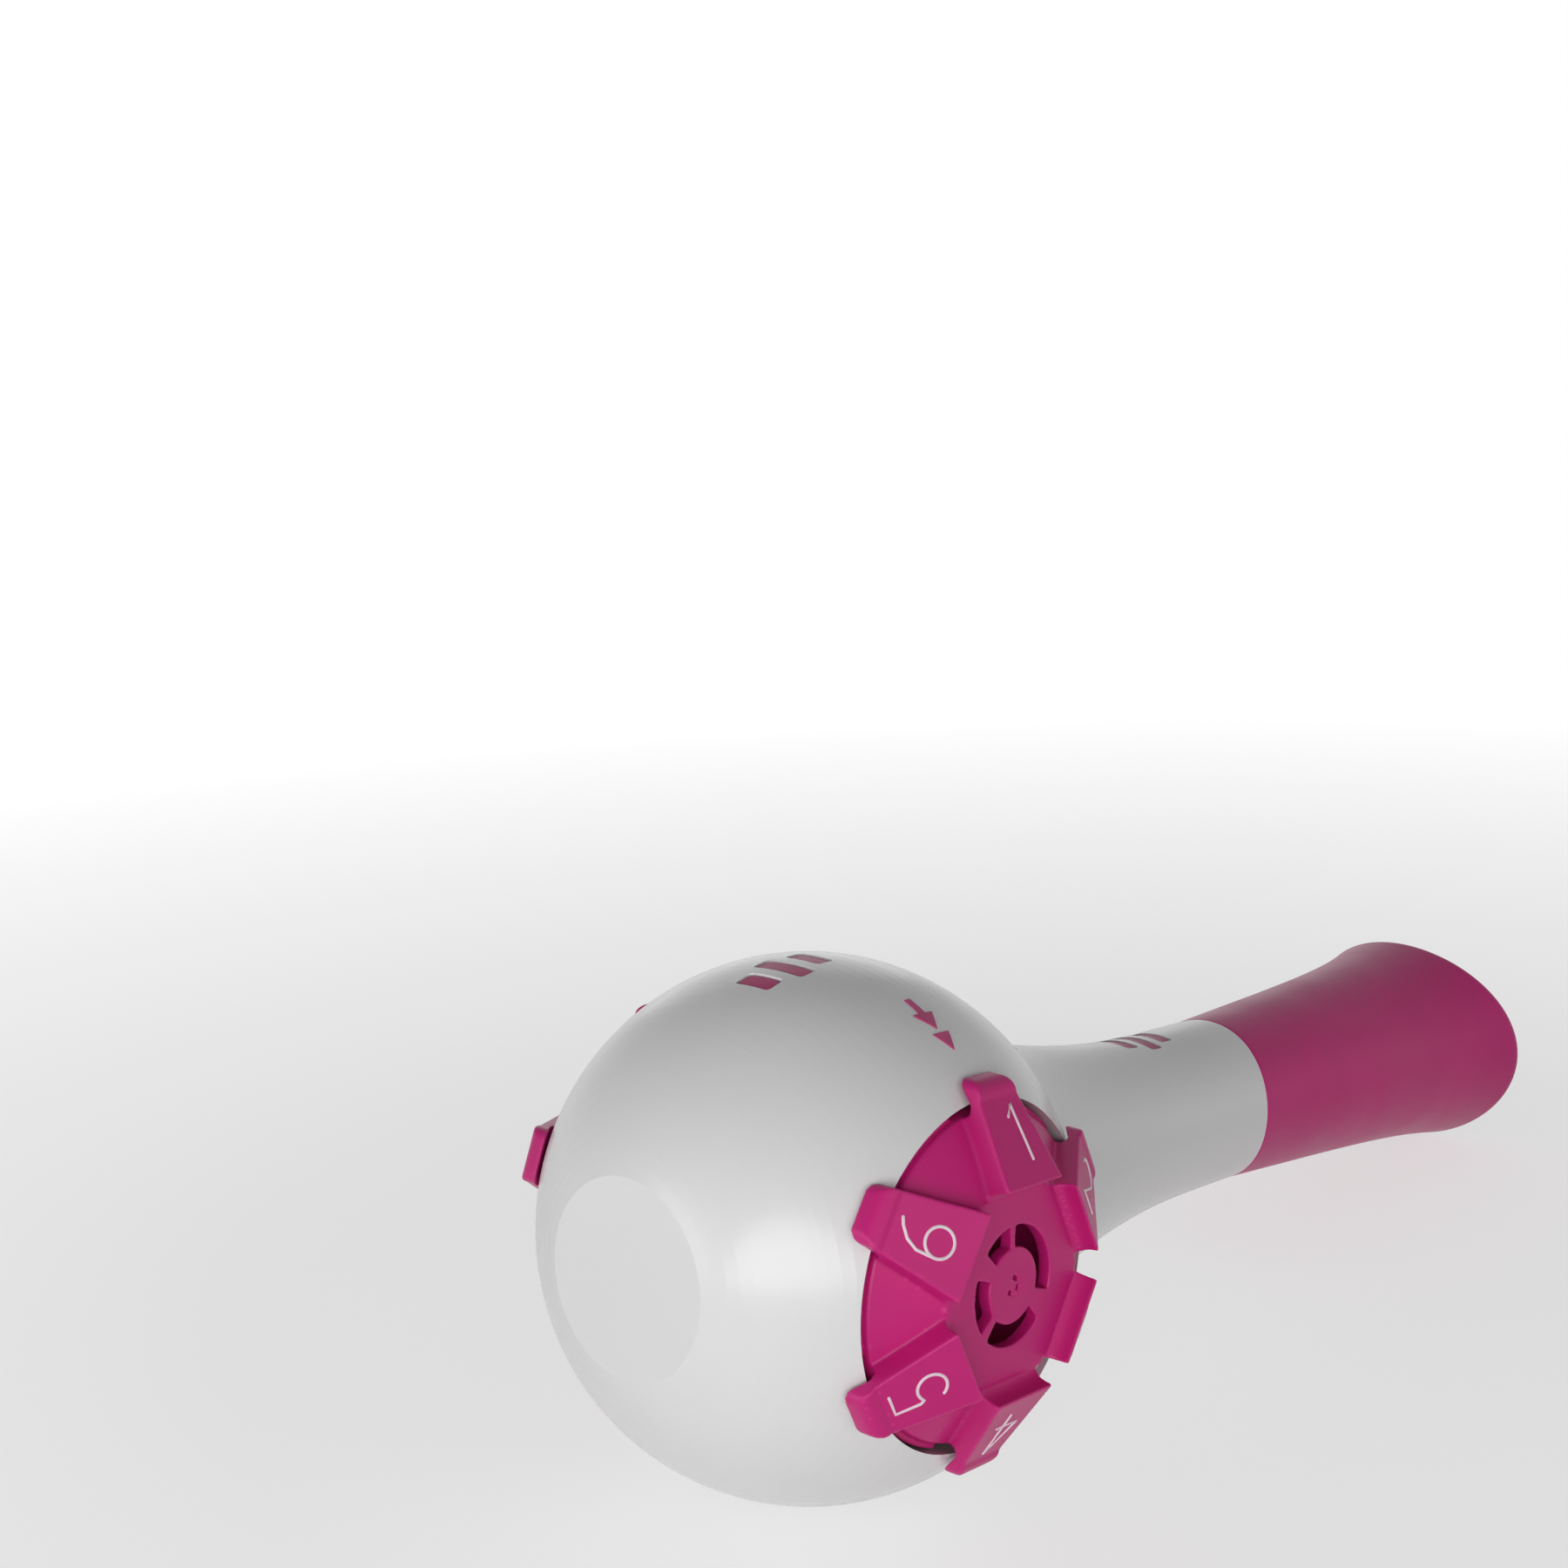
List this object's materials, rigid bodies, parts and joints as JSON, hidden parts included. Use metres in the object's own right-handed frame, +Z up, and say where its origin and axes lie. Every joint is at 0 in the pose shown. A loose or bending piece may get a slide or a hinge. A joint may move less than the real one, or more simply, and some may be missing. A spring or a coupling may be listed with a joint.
{
  "type": "breathing trainer",
  "caption": "Hand-held breathing trainer: round bulb with a numbered dial on each side, long neck and flared push-on mouthpiece.",
  "frame": {"origin": "on the table under the middle of the object's box, as it lies on its belly and its mouthpiece rim", "axes": "+X from the bulb towards the mouthpiece, +Z up through the grip marks and the dials' settings 1, +Y out of the breathe-out dial, -Y out of the breathe-in dial"},
  "size_m": [0.1884, 0.0655, 0.065],
  "materials": {
    "white_shell": "glossy moulded white plastic",
    "magenta_plastic": "satin-gloss moulded magenta plastic",
    "magenta_print": "thin magenta print",
    "white_print": "thin white print",
    "inner_plastic": "pale moulded plastic, not polished",
    "silicone": "milky soft silicone",
    "spring_steel": "bright spring strip",
    "screw_steel": "plain stainless steel"
  },
  "bodies": {
    "housing": {"upper_shell": "white_shell", "lower_shell": "white_shell", "neck_tube": "inner_plastic", "mouthpiece_seal": "silicone", "inhale_port_plate": "inner_plastic", "exhale_port_plate": "inner_plastic", "inhale_gasket": "silicone", "exhale_gasket": "silicone", "inhale_port_seal": "silicone", "exhale_port_seal": "silicone", "inhale_flap_cage": "inner_plastic", "exhale_flap_cage": "inner_plastic", "inhale_click_spring": "spring_steel", "exhale_click_spring": "spring_steel", "exhale_spindle_screw": "screw_steel", "bulb_grip_inlay": "magenta_plastic", "shoulder_grip_inlay": "magenta_plastic", "neck_grip_inlay": "magenta_plastic", "inhale_pointer": "magenta_print", "exhale_pointer": "magenta_print"},
    "breathe_in_dial": {"inhale_dial": "magenta_plastic", "inhale_orifice_disc": "magenta_plastic", "inhale_numerals": "white_print", "inhale_spindle_screw": "screw_steel", "inhale_spindle_washer": "screw_steel"},
    "breathe_out_dial": {"exhale_dial": "magenta_plastic", "exhale_orifice_disc": "inner_plastic", "exhale_numerals": "white_print"},
    "mouthpiece": {"mouthpiece": "magenta_plastic"},
    "breathe_in_flap": {"inhale_flap": "silicone"},
    "breathe_out_flap": {"exhale_flap": "silicone"}
  },
  "joints": [
    {"name": "inhale_dial_turn", "type": "hinge", "parent": "housing", "child": "breathe_in_dial", "pos_m": [-0.06272, -0.025, 0.0325], "axis": [0, -1, 0], "continuous": true},
    {"name": "exhale_dial_turn", "type": "hinge", "parent": "housing", "child": "breathe_out_dial", "pos_m": [-0.06272, 0.025, 0.0325], "axis": [0, 1, 0], "continuous": true},
    {"name": "mouthpiece_pull", "type": "slide", "parent": "housing", "child": "mouthpiece", "axis": [0.9947, 0, -0.1031], "range_m": [0, 0.026]},
    {"name": "inhale_flap_lift", "type": "slide", "parent": "housing", "child": "breathe_in_flap", "axis": [0, 1, 0], "range_m": [0, 0.0012], "stiffness_N_per_m": 2, "springref_m": -0.001},
    {"name": "exhale_flap_lift", "type": "slide", "parent": "housing", "child": "breathe_out_flap", "axis": [0, 1, 0], "range_m": [0, 0.0012], "stiffness_N_per_m": 2, "springref_m": -0.001}
  ]
}
